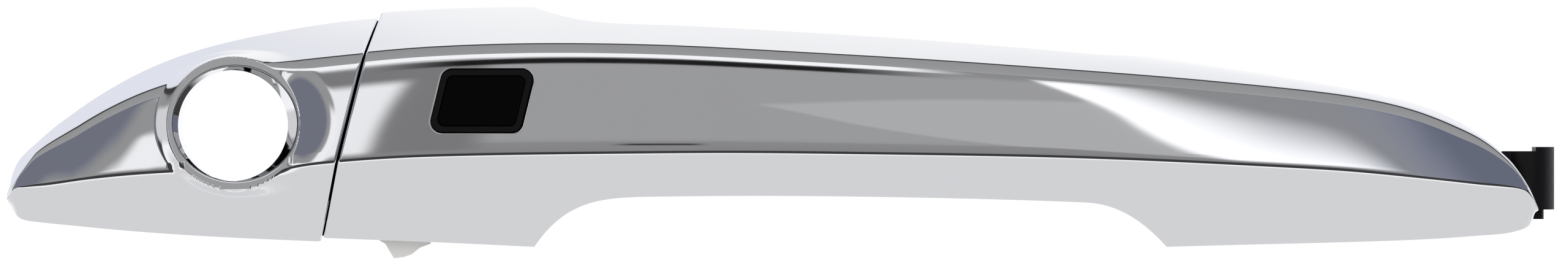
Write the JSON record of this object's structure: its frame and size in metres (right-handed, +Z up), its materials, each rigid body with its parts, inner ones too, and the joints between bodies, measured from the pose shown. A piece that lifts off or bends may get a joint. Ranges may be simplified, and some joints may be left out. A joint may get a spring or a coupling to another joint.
{
  "type": "car door handle",
  "caption": "Exterior car door pull handle with a pivoting grip, a keyless push panel, a fixed key cap with a lock hole, and the inner carrier with its bell crank.",
  "frame": {"origin": "midway between the two carrier bolt holes, on the carrier's front face, which is the inner face of the door skin", "axes": "+X along the handle from the key cap to the hinge end, -Y outward from the door, +Z up"},
  "size_m": [0.289, 0.0811, 0.047],
  "materials": {
    "chrome": "mirror-bright plated plastic",
    "black_plastic": "black moulded plastic, fine texture",
    "dark_plastic": "dark grey glass-filled plastic, matte",
    "panel_plastic": "smooth satin black plastic",
    "rubber": "black moulded rubber, matte",
    "nylon": "natural nylon, slightly translucent",
    "steel": "zinc-plated steel",
    "cast_metal": "die-cast zinc alloy, bare",
    "brass": "bright brass",
    "copper": "copper",
    "board": "green circuit board",
    "ferrite": "dark grey sintered ferrite",
    "wire_sleeve": "red wire insulation"
  },
  "bodies": {
    "base": {"carrier": "dark_plastic", "lock_bracket": "cast_metal", "hinge_bracket": "cast_metal", "bracket_screws": "steel", "bolt_sleeves": "steel", "hinge_pin": "steel", "rear_gasket": "rubber", "front_gasket": "rubber", "cap_shell": "chrome", "cap_retainer": "black_plastic", "cap_screw": "steel", "leg_guide": "nylon", "crank_pin": "steel", "pin_clip": "steel", "stop_bumper": "rubber", "return_spring": "steel"},
    "grip": {"grip_cover": "chrome", "grip_back": "black_plastic", "rear_leg": "dark_plastic", "leg_shoe": "nylon", "hinge_arm": "black_plastic", "grip_screws": "steel", "button_surround": "rubber", "sensor_case": "black_plastic", "circuit_board": "board", "board_parts": "black_plastic", "switch_body": "black_plastic", "antenna_core": "ferrite", "antenna_coil": "copper", "antenna_tray": "black_plastic", "touch_plate": "copper", "lead_wires": "wire_sleeve", "terminal_block": "black_plastic", "terminal_pins": "brass"},
    "button": {"push_panel": "panel_plastic", "switch_stem": "nylon"},
    "crank": {"bell_crank": "black_plastic", "crank_bush": "nylon", "roller_pin": "steel", "counterweight": "steel"},
    "roller": {"crank_roller": "nylon"},
    "clip": {"rod_clip": "nylon"}
  },
  "joints": [
    {"name": "grip_hinge", "type": "hinge", "parent": "base", "child": "grip", "pos_m": [0.1389, 0.007, -0.0085], "axis": [0, 0, 1], "range_deg": [0, 5]},
    {"name": "panel_slide", "type": "slide", "parent": "grip", "child": "button", "axis": [0.1736, 0.9848, 0], "range_m": [0, 0.0008], "stiffness_N_per_m": 2500, "springref_m": -0.0004},
    {"name": "crank_hinge", "type": "hinge", "parent": "base", "child": "crank", "pos_m": [-0.057, 0.0176, 0.007], "axis": [-1, 0, 0], "range_deg": [0, 52.1], "stiffness_Nm_per_rad": 0.25, "springref_deg": -45.84, "deforming": ["return_spring"]},
    {"name": "roller_spin", "type": "hinge", "parent": "crank", "child": "roller", "pos_m": [-0.0602, 0.02637, -0.01098], "axis": [1, 0, 0], "continuous": true},
    {"name": "clip_hinge", "type": "hinge", "parent": "crank", "child": "clip", "pos_m": [-0.0582, 0.0401, 0.007], "axis": [-1, 0, 0], "range_deg": [-52.1, 0]}
  ],
  "couplings": [
    {"joint": "crank_hinge", "follows": "grip_hinge", "ratio": 10.4},
    {"joint": "clip_hinge", "follows": "grip_hinge", "ratio": -10.4}
  ]
}
